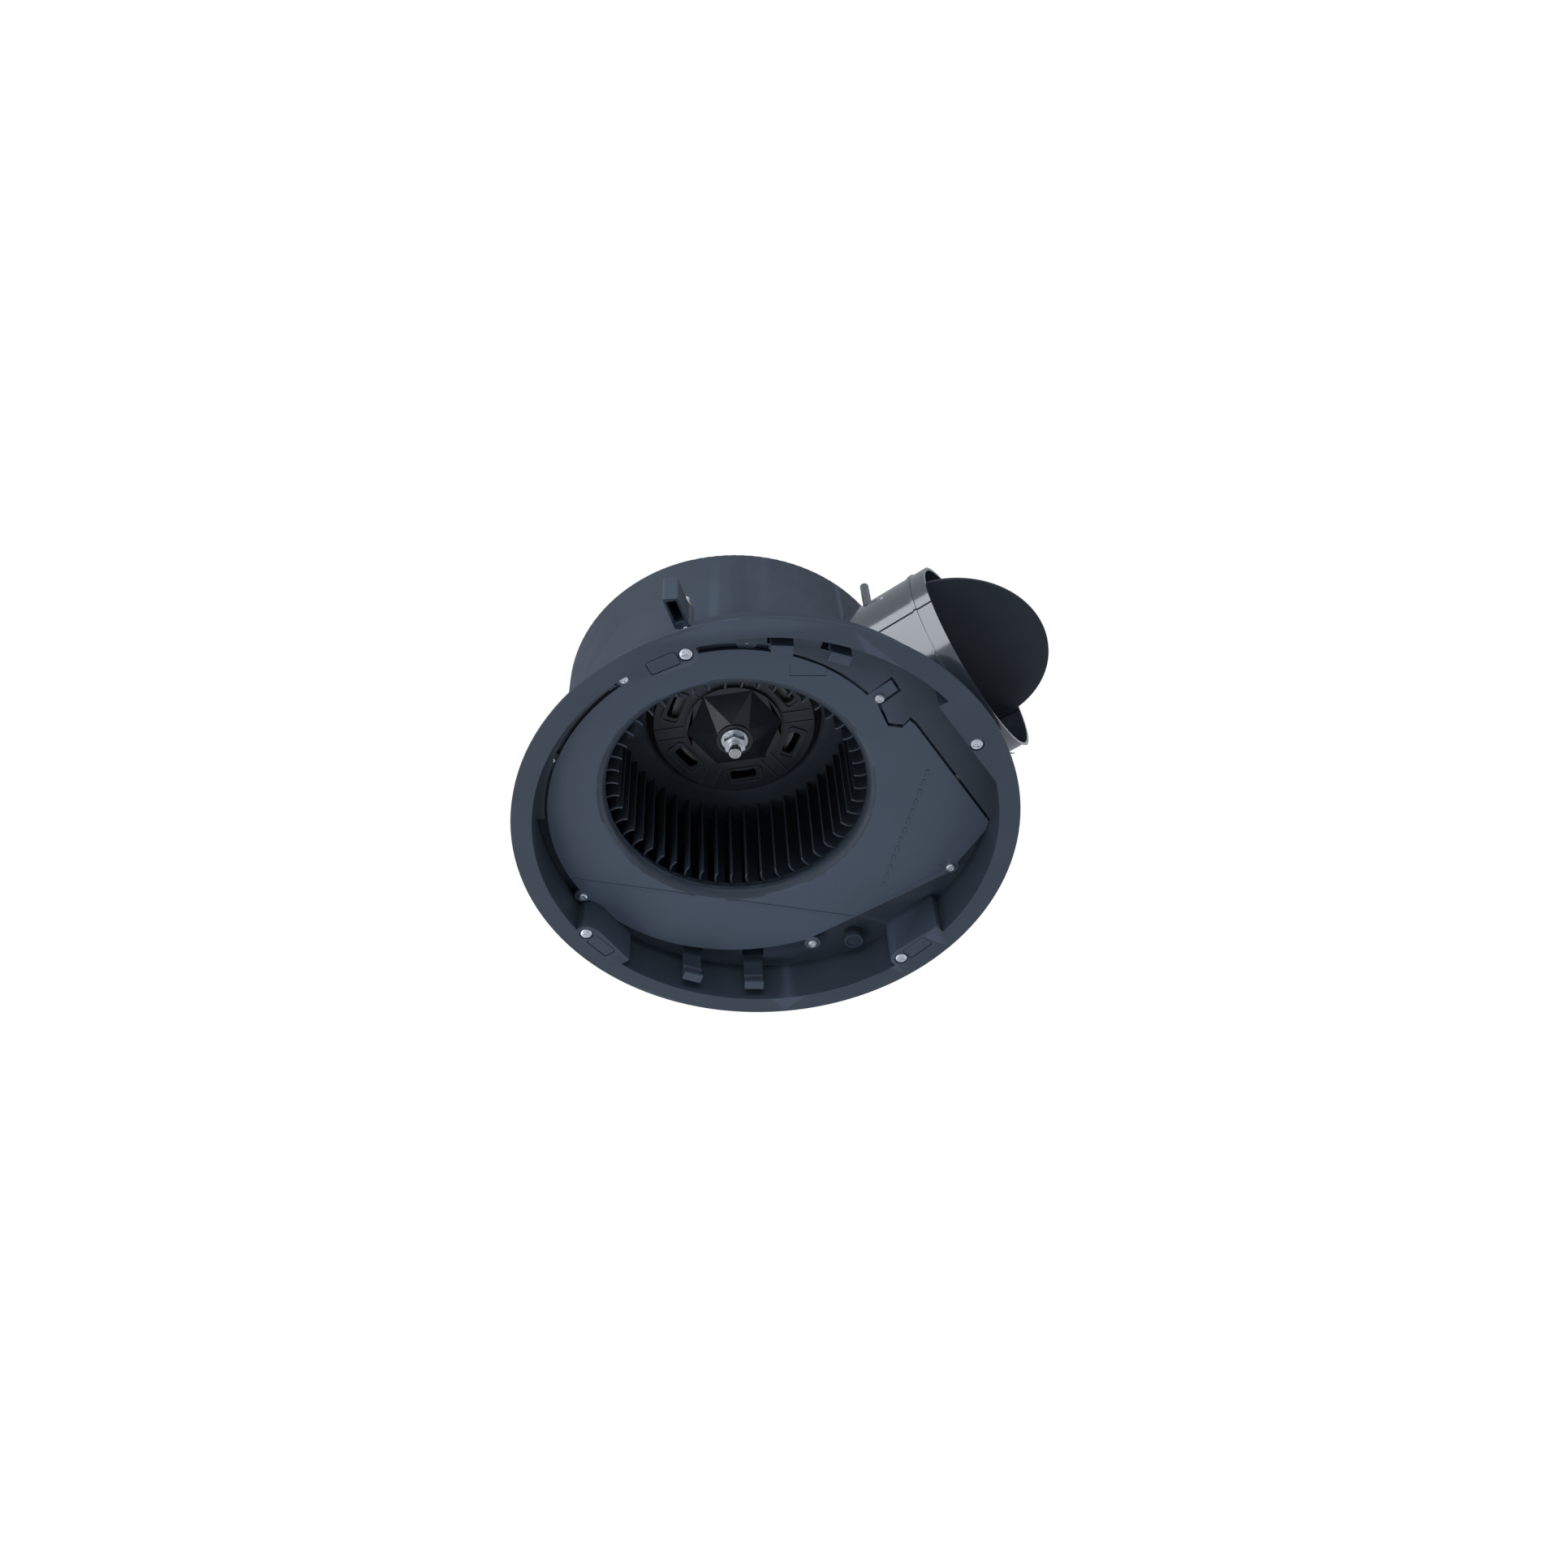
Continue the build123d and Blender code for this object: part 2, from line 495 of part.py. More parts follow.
def spigot_base_screws():
    solids = []
    for x, y, z in spigot_screw_places():
        solids.append(along_x(3.0, x, x + 2.0, y, z) + along_x(1.5, x - SPIGOT_BASE_T, x, y, z))
    return solids


def outlet_gasket():
    """Foam strip between the round housing and the saddle end of the spigot."""
    strip = prism(drum_outline(-GASKET_T) - drum_outline(), FLOOR_HIGH_Z + WALL_T + 0.5, DRUM_TOP_Z - 2)
    strip &= along_duct(DUCT_R, 60, OUTLET_X + 5)
    return strip - along_duct(DUCT_BORE_R, 0, DUCT_END_X)


def flap_pin():
    pivot_z = DUCT_Z + FLAP_PIVOT_RISE
    half = math.sqrt(DUCT_R ** 2 - FLAP_PIVOT_RISE ** 2) - 0.2
    return Pos(FLAP_PIVOT_X, DUCT_Y, pivot_z) * Rot(90, 0, 0) * Cylinder(FLAP_PIN_R, 2 * half)


def damper_flap():
    """The flap is made flat with its pivot at the origin, then tilted open and lifted into the duct."""
    half_chord = math.sqrt(FLAP_R ** 2 - FLAP_PIVOT_RISE ** 2)
    flap = rod(FLAP_R, -FLAP_T / 2, FLAP_T / 2, FLAP_PIVOT_RISE, 0)
    flap += Rot(90, 0, 0) * Cylinder(FLAP_BARREL_R, 2 * half_chord - 3.0)
    for y in (-22.0, 0.0, 22.0):
        flap += Pos(FLAP_PIVOT_RISE + 6.0, y, 1.6) * Box(64.0, 1.6, 2.0)
    flap -= Rot(90, 0, 0) * Cylinder(FLAP_PIN_R + RUNNING_GAP, 2 * FLAP_R)
    return Pos(FLAP_PIVOT_X, DUCT_Y, DUCT_Z + FLAP_PIVOT_RISE) * Rot(0, FLAP_TILT, 0) * flap


# ---- ceiling clamps -----------------------------------------------------------------------------
def clamp_screw(angle):
    x, y = polar(CLAMP_R, angle)
    z_head = POCKET_Z - 0.05
    return screw(BIG_HEAD_R, BIG_HEAD_H, CLAMP_SCREW_R, z_head, CLAMP_SCREW_TOP - z_head, x, y)


def clamp_bush(angle):
    """Threaded bush: a sleeve inside the arm's boss with a rim that rides on top of the arm."""
    x, y = polar(CLAMP_R, angle)
    top = CLAMP_ARM_Z + CLAMP_ARM_H
    bore = CLAMP_SCREW_R + RUNNING_GAP
    bush = ring(BUSH_R, bore, top - BUSH_DROP, top + 0.1 + BUSH_RIM_T, x, y)
    return bush + ring(CLAMP_ARM_W / 2 - 0.2, bore, top + 0.1, top + 0.1 + BUSH_RIM_T, x, y)


def clamp_arm(angle):
    """Channel open downward, set off to one side of the round boss at its screw end."""
    x, y = polar(CLAMP_R, angle)
    half, skin, reach = CLAMP_ARM_W / 2, CLAMP_ARM_SKIN, CLAMP_ARM_REACH
    slant = half * math.tan(math.radians(CLAMP_ARM_TIP_SKEW))
    low_y, high_y = -CLAMP_ARM_OFFSET - half, -CLAMP_ARM_OFFSET + half
    root_x = 2.5
    outline = Polyline((root_x, low_y), (reach + slant, low_y), (reach - slant, high_y), (0, high_y), close=True)
    arm = extrude(make_face(outline), CLAMP_ARM_H)
    arm = fillet(arm.edges().filter_by(Axis.Z).sort_by(Axis.X)[-2:], 1.2) + Cylinder(half, CLAMP_ARM_H, align=LOW)
    hollow = Polyline(
        (half + skin, low_y + skin), (reach + slant - 2 * skin, low_y + skin),
        (reach - slant - skin, high_y - skin), (half + skin, high_y - skin), close=True,
    )
    arm -= Pos(0, 0, -1) * extrude(make_face(hollow), CLAMP_ARM_H - skin + 1)
    arm -= Cylinder(CLAMP_SCREW_R + 0.4, CLAMP_ARM_H, align=LOW)
    arm -= Pos(0, 0, CLAMP_ARM_H - BUSH_DROP - 0.1) * Cylinder(BUSH_R + RUNNING_GAP, CLAMP_ARM_H, align=LOW)
    return Pos(x, y, CLAMP_ARM_Z) * Rot(0, 0, angle) * arm


# ---- impeller -----------------------------------------------------------------------------------
def blade_face(angle):
    """One forward-curved blade. Its tip leans clockwise, the way the wheel turns seen from above."""
    half = BLADE_T / 2
    root_r, tip_r = IMPELLER_IN_R, IMPELLER_OUT_R - 0.6
    mid_r = (root_r + tip_r) / 2 + 2.0
    front = ThreePointArc((root_r, half), (mid_r, half - 0.6), (tip_r, half - BLADE_LEAN))
    back = ThreePointArc((tip_r - 0.5, -half - BLADE_LEAN), (mid_r, -half - 0.8), (root_r, -half))
    tip = Line((tip_r, half - BLADE_LEAN), (tip_r - 0.5, -half - BLADE_LEAN))
    root = Line((root_r, -half), (root_r, half))
    return Rot(0, 0, angle) * make_face(Curve() + [front, tip, back, root])


def impeller_blades():
    faces = Sketch() + [blade_face(360.0 / BLADES * n) for n in range(BLADES)]
    wheel = prism(faces, IMPELLER_Z0 + 0.5, IMPELLER_Z1 - 1.0)
    wheel += ring(IMPELLER_OUT_R, IMPELLER_OUT_R - 4.5, IMPELLER_Z0, IMPELLER_Z0 + END_RING_T)
    wheel += ring(IMPELLER_OUT_R, HUB_RIM_R, IMPELLER_Z1 - END_RING_T, IMPELLER_Z1)
    return Pos(FAN_X, FAN_Y, 0) * wheel


def antiprism(r0, z0, r1, z1, phase, sides):
    """Faceted cone between two polygons, the upper one turned by half a side."""
    step = 360.0 / sides
    wide = [(*polar(r0, phase + step * (n + 0.5)), z0) for n in range(sides)]
    tight = [(*polar(r1, phase + step * n), z1) for n in range(sides)]
    triangles = []
    for n in range(sides):
        triangles.append((wide[n - 1], wide[n], tight[n]))
        triangles.append((tight[n], wide[n], tight[(n + 1) % sides]))
    faces = [Face(Wire.make_polygon(points, close=True)) for points in triangles + [wide, tight]]
    return Solid(Shell(faces))


def impeller_hub():
    """Back of the wheel: a slotted ring over the motor and a faceted cone that carries the shaft."""
    skin = WALL_T
    back_z = IMPELLER_Z1
    rim = Polyline(
        (HUB_CONE_R - 6.0, HUB_RING_Z), (HUB_RING_R, HUB_RING_Z), (HUB_RIM_R - skin, back_z - END_RING_T),
        (HUB_RIM_R, back_z - END_RING_T), (HUB_RIM_R, back_z), (HUB_RIM_R - 2 * skin, back_z),
        (HUB_RING_R - skin, HUB_RING_Z + skin), (HUB_CONE_R - 6.0, HUB_RING_Z + skin), close=True,
    )
    hub = revolve(Plane.XZ * make_face(rim), Axis.Z, 360)
    hub += ring(HUB_CONE_R, HUB_CONE_R - 6.0, HUB_CONE_Z, HUB_RING_Z + skin)
    outside = antiprism(HUB_CONE_R, HUB_CONE_Z, HUB_COLLAR_R, HUB_COLLAR_Z, HUB_PHASE, HUB_SLOTS)
    outside += rod(HUB_CONE_R, HUB_CONE_Z - 0.01, HUB_CONE_Z + skin)
    inside = Pos(0, 0, skin + 1.0) * antiprism(
        HUB_CONE_R - 2.5, HUB_CONE_Z, HUB_COLLAR_R - 2.0, HUB_COLLAR_Z, HUB_PHASE, HUB_SLOTS
    )
    hub += outside - inside
    hub += rod(HUB_COLLAR_R - 2.5, HUB_COLLAR_Z, HUB_RING_Z + skin)
    hub += ring(HUB_COLLAR_R, HUB_COLLAR_R - 1.5, HUB_COLLAR_Z - 1.0, HUB_COLLAR_Z + 0.5)
    step = 360.0 / HUB_SLOTS
    for n in range(HUB_SLOTS):
        turn = Rot(0, 0, HUB_PHASE + step * n)
        frame = extrude(RectangleRounded(12.5, 25.0, 3.0) - RectangleRounded(9.5, 22.0, 2.0), 1.0)
        hub += turn * Pos(40.5, 0, HUB_RING_Z - 1.0) * frame
        hub -= turn * Pos(40.0, 0, HUB_RING_Z - 2.0) * extrude(RectangleRounded(7.5, 17.0, 2.4), 8.0)
        spoke = Rot(0, 0, HUB_PHASE + step * (n + 0.5))
        for side in (-1, 1):
            hub += spoke * Pos(41.5, side * 4.2, HUB_RING_Z - 0.7) * Box(19.0, 1.2, 0.9, align=LOW)
    hub -= rod(SHAFT_R, 0, IMPELLER_Z1 + 10)
    return Pos(FAN_X, FAN_Y, 0) * hub


def hub_washer():
    return fan_ring(8.6, SHAFT_R, HUB_COLLAR_Z - 1.5, HUB_COLLAR_Z)


def hub_nut():
    nut = extrude(RegularPolygon(6.5, 6, major_radius=False), 5.5)
    return Pos(FAN_X, FAN_Y, HUB_COLLAR_Z - 7.0) * nut - rod(SHAFT_R, 0, DRUM_TOP_Z, FAN_X, FAN_Y)


# ---- motor --------------------------------------------------------------------------------------
def stator_core():
    core = fan_ring(MOTOR_R, ROTOR_R + 0.5, CORE_Z0, CORE_Z1)
    slots, slot_r = 12, 27.5
    for n in range(slots):
        slot = Pos(slot_r, 0, CORE_Z0) * Box(9.0, 5.4, 60.0)
        core -= Pos(FAN_X, FAN_Y, 0) * Rot(0, 0, 360 / slots * n) * slot
    return core


def stator_windings():
    low = fan_ring(34.0, 23.5, CORE_Z0 - 3.6, CORE_Z0)
    high = fan_ring(34.0, 23.5, CORE_Z1, CORE_Z1 + 3.6)
    return [fillet(coil.edges().filter_by(GeomType.CIRCLE), 1.2) for coil in (low, high)]


def rotor():
    return fan_ring(ROTOR_R, SHAFT_R, CORE_Z0 + 0.5, CORE_Z1 - 0.5)


def bell(z0, z1, floor_at_bottom):
    """A cup that closes one end of the motor and holds a bearing in its middle."""
    skin, seat_r, seat_h = 1.6, 13.0, 6.6
    cup = rod(MOTOR_R, z0, z1, FAN_X, FAN_Y)
    if floor_at_bottom:
        cup -= rod(MOTOR_R - skin, z0 + skin, z1 + 1, FAN_X, FAN_Y)
        cup += fan_ring(seat_r, BEARING_R, z0, z0 + seat_h)
        cup -= rod(BEARING_R, z0 + skin, z1 + 1, FAN_X, FAN_Y)
    else:
        cup -= rod(MOTOR_R - skin, z0 - 1, z1 - skin, FAN_X, FAN_Y)
        cup += fan_ring(seat_r, BEARING_R, z1 - seat_h, z1)
        cup -= rod(BEARING_R, z0 - 1, z1 - skin, FAN_X, FAN_Y)
    return cup - rod(SHAFT_R + 0.8, 0, DRUM_TOP_Z, FAN_X, FAN_Y)


def bearing(z0):
    return fan_ring(BEARING_R, SHAFT_R + RUNNING_GAP, z0, z0 + 5.0)


def motor_plate():
    plate = fan_ring(58.0, 13.5, MOTOR_PLATE_Z, MOTOR_PLATE_Z + MOTOR_PLATE_T)
    for x, y in motor_bolt_centres():
        plate -= rod(4.0, MOTOR_PLATE_Z - 1, MOTOR_PLATE_Z + 5, x, y)
    return plate


def motor_grommets():
    solids = []
    for x, y in motor_bolt_centres():
        body = ring(6.0, 1.5, MOTOR_PLATE_Z - 2.4, MOTOR_PLATE_Z + GROMMET_TOP, x, y)
        solids.append(body - ring(8.0, 4.0, MOTOR_PLATE_Z, MOTOR_PLATE_Z + MOTOR_PLATE_T, x, y))
    return solids


def motor_screws():
    places = motor_bolt_centres()
    return [screw(4.2, 2.2, 1.5, MOTOR_PLATE_Z - 2.4, 8.4, x, y) for x, y in places]


# ---- electrical compartment ---------------------------------------------------------------------
def cover_screw_places():
    inset = 4.6
    return [(x, TERMINAL_Y0 + inset) for x in (TERMINAL_X0 + inset, TERMINAL_X1 - inset)]


def terminal_box():
    box = block(TERMINAL_X0, TERMINAL_X1, TERMINAL_Y0, TERMINAL_Y1, TERMINAL_Z0, TERMINAL_Z1)
    box = fillet(box.edges().filter_by(Axis.Z), 3.0)
    w = WALL_T
    box -= block(
        TERMINAL_X0 + w, TERMINAL_X1 - w, TERMINAL_Y0 + w, TERMINAL_Y1 - w, TERMINAL_Z0 + w, TERMINAL_Z1 + 1
    )
    for x, y in cover_screw_places():
        box += rod(3.2, TERMINAL_Z0 + 1, TERMINAL_Z1, x, y)
        box -= rod(1.25, TERMINAL_Z1 - 12, TERMINAL_Z1 + 1, x, y)
    return box - along_x(GLAND_R, TERMINAL_X0 - 1, TERMINAL_X0 + 5, GLAND_Y, GLAND_Z)


def terminal_cover():
    lid = block(TERMINAL_X0, TERMINAL_X1, TERMINAL_Y0, TERMINAL_Y1, TERMINAL_Z1, TERMINAL_Z1 + 2.0)
    lid = fillet(lid.edges().filter_by(Axis.Z), 3.0)
    lid = chamfer(lid.edges().group_by(Axis.Z)[-1], 0.7)
    for x, y in cover_screw_places():
        lid -= rod(1.25, TERMINAL_Z1 - 1, TERMINAL_Z1 + 5, x, y)
    return lid


def cover_screws():
    return [cap_screw(3.0, 2.0, 1.25, TERMINAL_Z1 + 2.0, 10.0, x, y) for x, y in cover_screw_places()]


def terminal_block():
    z0 = TERMINAL_Z0 + WALL_T
    height, pitch, ways = 14.0, 11.0, 3
    strip = block(-8.0, 26.0, 106.0, 120.0, z0, z0 + height)
    for n in range(ways):
        for y in (110.0, 116.0):
            strip -= rod(2.4, z0 + 9.0, z0 + height + 1, -2.0 + pitch * n, y)
    return strip


def run_capacitor():
    can = Pos(-20.0, 109.0, TERMINAL_Z0 + WALL_T) * Box(12.0, 12.0, 14.0, align=LOW)
    return fillet(can.edges().filter_by(Axis.Z), 2.0)


def cable_gland():
    body = along_x(8.0, TERMINAL_X0 - 9.0, TERMINAL_X0, GLAND_Y, GLAND_Z)
    body += along_x(GLAND_R, TERMINAL_X0 - 9.0, TERMINAL_X0 + 4.0, GLAND_Y, GLAND_Z)
    return body - along_x(3.6, TERMINAL_X0 - 20, TERMINAL_X0 + 20, GLAND_Y, GLAND_Z)


def lead_grommet():
    body = ring(9.0, 3.0, DRUM_TOP_Z - WALL_T - 2.0, DRUM_TOP_Z + 1.6, FAN_X, LEAD_Y)
    return body - ring(12.0, LEAD_HOLE_R, DRUM_TOP_Z - WALL_T, DRUM_TOP_Z, FAN_X, LEAD_Y)


# ---- build --------------------------------------------------------------------------------------
def main():
    os.makedirs("parts", exist_ok=True)
    save("ceiling_flange", ceiling_flange())
    save("clamp_pads", *clamp_pads())
    save("fascia_hooks", *fascia_hooks())
    save("inlet_plate", inlet_plate())
    save("plate_screws", *plate_screws())
    save("scroll_casing", scroll_casing())
    save("casing_screws", *casing_screws())
    save("duct_spigot", duct_spigot())
    save("spigot_base_screws", *spigot_base_screws())
    save("spigot_foot_screw", screw(BIG_HEAD_R, BIG_HEAD_H, 1.6, POCKET_Z, 7.0, *SPIGOT_SCREW))
    save("outlet_gasket", outlet_gasket())
    save("flap_pin", flap_pin())
    save("damper_flap", damper_flap())
    for name, angle in CLAMP_ANGLES.items():
        save("clamp_screw_" + name, clamp_screw(angle))
        save("clamp_bush_" + name, clamp_bush(angle))
        save("clamp_arm_" + name, clamp_arm(angle))
    save("impeller_blades", impeller_blades())
    save("impeller_hub", impeller_hub())
    save("hub_washer", hub_washer())
    save("hub_nut", hub_nut())
    save("motor_shaft", rod(SHAFT_R, SHAFT_Z0, SHAFT_Z1, FAN_X, FAN_Y))
    save("rotor", rotor())
    save("stator_core", stator_core())
    save("stator_windings", *stator_windings())
    save("motor_lower_bell", bell(BELL_Z0, CORE_Z0, True))
    save("motor_upper_bell", bell(CORE_Z1, MOTOR_PLATE_Z, False))
    save("lower_bearing", bearing(BELL_Z0 + 1.6))
    save("upper_bearing", bearing(MOTOR_PLATE_Z - 6.6))
    save("motor_plate", motor_plate())
    save("motor_grommets", *motor_grommets())
    save("motor_screws", *motor_screws())
    save("terminal_box", terminal_box())
    save("terminal_cover", terminal_cover())
    save("cover_screws", *cover_screws())
    save("terminal_block", terminal_block())
    save("run_capacitor", run_capacitor())
    save("cable_gland", cable_gland())
    save("lead_grommet", lead_grommet())


main()
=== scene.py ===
import json
import math

import bmesh
import bpy
from mathutils import Matrix, Vector


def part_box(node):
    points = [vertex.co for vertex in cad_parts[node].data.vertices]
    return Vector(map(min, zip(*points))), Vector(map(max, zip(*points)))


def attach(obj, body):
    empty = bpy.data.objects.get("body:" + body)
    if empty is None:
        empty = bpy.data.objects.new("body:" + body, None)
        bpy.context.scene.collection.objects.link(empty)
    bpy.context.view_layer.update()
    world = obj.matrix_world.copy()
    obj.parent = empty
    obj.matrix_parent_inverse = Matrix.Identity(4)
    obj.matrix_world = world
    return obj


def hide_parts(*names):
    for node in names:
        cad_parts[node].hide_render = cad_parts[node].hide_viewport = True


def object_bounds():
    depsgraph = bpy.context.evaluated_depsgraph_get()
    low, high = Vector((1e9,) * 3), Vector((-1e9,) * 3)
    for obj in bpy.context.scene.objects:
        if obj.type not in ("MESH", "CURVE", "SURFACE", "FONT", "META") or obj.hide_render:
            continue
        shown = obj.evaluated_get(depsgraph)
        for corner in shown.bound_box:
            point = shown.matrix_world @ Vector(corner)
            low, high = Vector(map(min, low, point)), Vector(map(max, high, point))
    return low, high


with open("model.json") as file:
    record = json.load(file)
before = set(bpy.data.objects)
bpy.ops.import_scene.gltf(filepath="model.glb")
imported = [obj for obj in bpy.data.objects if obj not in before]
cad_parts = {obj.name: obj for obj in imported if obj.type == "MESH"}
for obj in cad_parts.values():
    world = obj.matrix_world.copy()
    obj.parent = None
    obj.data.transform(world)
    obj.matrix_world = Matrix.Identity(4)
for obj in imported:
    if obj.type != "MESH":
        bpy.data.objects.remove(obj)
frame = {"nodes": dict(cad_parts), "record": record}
cad_low, cad_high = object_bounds()
record = frame["record"]
scene = bpy.context.scene


# ---- materials ----------------------------------------------------------------------------------
def scaled(colour, share):
    return tuple(min(1.0, channel * share) for channel in colour)


class Shader:
    """A node material, with a short call for each kind of node that the materials use."""

    def __init__(self, name):
        self.material = bpy.data.materials.new(name)
        self.material.use_nodes = True
        self.nodes = self.material.node_tree.nodes
        self.links = self.material.node_tree.links
        self.bsdf = self.nodes["Principled BSDF"]

    def coords(self):
        return self.nodes.new("ShaderNodeTexCoord").outputs["Object"]

    def pointiness(self):
        return self.nodes.new("ShaderNodeNewGeometry").outputs["Pointiness"]

    def stretched(self, coords, scale, turn=0.0):
        node = self.nodes.new("ShaderNodeMapping")
        node.inputs["Scale"].default_value = scale
        node.inputs["Rotation"].default_value = (0.0, 0.0, turn)
        self.links.new(coords, node.inputs["Vector"])
        return node.outputs["Vector"]

    def noise(self, coords, scale, detail=4.0, rough=0.55):
        node = self.nodes.new("ShaderNodeTexNoise")
        node.inputs["Scale"].default_value = scale
        node.inputs["Detail"].default_value = detail
        node.inputs["Roughness"].default_value = rough
        self.links.new(coords, node.inputs["Vector"])
        return node.outputs["Fac"]

    def ramp(self, value, stops):
        node = self.nodes.new("ShaderNodeValToRGB")
        elements = node.color_ramp.elements
        while len(elements) < len(stops):
            elements.new(0.5)
        for element, (position, colour) in zip(elements, stops):
            element.position = position
            element.color = (*colour, 1.0)
        self.links.new(value, node.inputs["Fac"])
        return node.outputs["Color"]

    def map_range(self, value, low, high, from_low=0.3, from_high=0.7):
        node = self.nodes.new("ShaderNodeMapRange")
        node.inputs["From Min"].default_value = from_low
        node.inputs["From Max"].default_value = from_high
        node.inputs["To Min"].default_value = low
        node.inputs["To Max"].default_value = high
        self.links.new(value, node.inputs["Value"])
        return node.outputs["Result"]

    def bump(self, height, strength, distance, normal=None):
        node = self.nodes.new("ShaderNodeBump")
        node.inputs["Strength"].default_value = strength
        node.inputs["Distance"].default_value = distance
        self.links.new(height, node.inputs["Height"])
        if normal is not None:
            self.links.new(normal, node.inputs["Normal"])
        return node.outputs["Normal"]

    def mix(self, share, under, over):
        """Lays a plain colour over an output, as far as the share says."""
        node = self.nodes.new("ShaderNodeMix")
        node.data_type = "RGBA"
        self.links.new(share, node.inputs["Factor"])
        self.links.new(under, node.inputs["A"])
        node.inputs["B"].default_value = (*over, 1.0)
        return node.outputs["Result"]

    def math(self, operation, first, second=None):
        node = self.nodes.new("ShaderNodeMath")
        node.operation = operation
        for socket, value in zip(node.inputs, (first, second)):
            if isinstance(value, float):
                socket.default_value = value
            elif value is not None:
                self.links.new(value, socket)
        return node.outputs[0]

    def source(self, name):
        """What is linked to one of the surface's sockets now."""
        return self.bsdf.inputs[name].links[0].from_socket

    def link(self, name, output):
        self.links.new(output, self.bsdf.inputs[name])

    def fix(self, name, value):
        self.bsdf.inputs[name].default_value = value


def moulded(name, colour, rough, grain=2200.0, grain_depth=0.00003, coat=0.0, coat_ior=1.5, specular=0.4):
    """Moulded plastic: fine spark-eroded grain, faint flow marks with lighter dust along them, and convex
    edges lightened, partly as rubbed wear and partly as painted highlight.
    """
    shader = Shader(name)
    coords = shader.coords()
    cloud = shader.noise(coords, scale=22.0, detail=5.0)
    body = shader.ramp(cloud, [(0.30, scaled(colour, 0.86)), (0.52, colour), (0.74, scaled(colour, 1.12))])
    along_flow = shader.stretched(coords, scale=(1.0, 9.0, 3.0), turn=0.6)
    streak = shader.noise(along_flow, scale=14.0, detail=6.0, rough=0.7)
    dust = shader.map_range(streak, low=0.0, high=0.10, from_low=0.52, from_high=0.80)
    body = shader.mix(dust, body, scaled(colour, 1.9))
    # Convex edges are made lighter by pointiness. This is partly rubbed wear and partly a painted highlight
    # on edges and ridges.
    rub_and_highlight = shader.map_range(shader.pointiness(), low=0.0, high=0.5, from_low=0.515, from_high=0.60)
    shader.link("Base Color", shader.mix(rub_and_highlight, body, scaled(colour, 2.6)))
    patch = shader.noise(coords, scale=60.0, detail=4.0)
    shader.link("Roughness", shader.map_range(patch, low=rough - 0.05, high=rough + 0.07))
    fine = shader.noise(coords, scale=grain, detail=2.0)
    normal = shader.bump(fine, strength=0.35, distance=grain_depth)
    wave = shader.noise(coords, scale=12.0, detail=2.0)
    shader.link("Normal", shader.bump(wave, strength=0.25, distance=0.0006, normal=normal))
    shader.fix("Specular IOR Level", specular)
    shader.fix("Coat Weight", coat)
    shader.fix("Coat Roughness", 0.12)
    shader.fix("Coat IOR", coat_ior)
    return shader


def metal(name, colour, rough, brush=(1.0, 1.0, 12.0), scale=420.0, metallic=1.0):
    """Plated or turned metal: fine tool marks, blotchy roughness and a slightly darker tone in patches."""
    shader = Shader(name)
    coords = shader.coords()
    marks = shader.noise(shader.stretched(coords, scale=brush), scale=scale, detail=3.0)
    blotch = shader.noise(coords, scale=160.0, detail=4.0)
    body = shader.ramp(blotch, [(0.3, scaled(colour, 0.82)), (0.55, colour), (0.8, scaled(colour, 1.08))])
    shader.link("Base Color", body)
    shader.fix("Metallic", metallic)
    shader.link("Roughness", shader.map_range(marks, low=rough - 0.06, high=rough + 0.10))
    shader.link("Normal", shader.bump(marks, strength=0.2, distance=0.00004))
    return shader


def add_seam(shader, axis_y, axis_z, angle, half_width, depth, tint):
    """Cuts a fine dark mould seam into a finished material, along X and at an angle round an axis."""
    split = shader.nodes.new("ShaderNodeSeparateXYZ")
    shader.links.new(shader.coords(), split.inputs[0])
    across = shader.math("SUBTRACT", split.outputs["Y"], axis_y)
    rise = shader.math("SUBTRACT", split.outputs["Z"], axis_z)
    turn = shader.math("ARCTAN2", rise, across)
    off = shader.math("ABSOLUTE", shader.math("SUBTRACT", turn, angle))
    seam = shader.map_range(off, low=1.0, high=0.0, from_low=half_width * 0.6, from_high=half_width)
    plain = shader.math("SUBTRACT", 1.0, seam)
    shader.link("Base Color", shader.mix(seam, shader.source("Base Color"), tint))
    dull = shader.math("MULTIPLY", seam, 0.8)
    shader.link("Roughness", shader.math("MAXIMUM", shader.source("Roughness"), dull))
    shader.link("Coat Weight", plain)
    shader.link("Normal", shader.bump(plain, strength=1.0, distance=depth, normal=shader.source("Normal")))


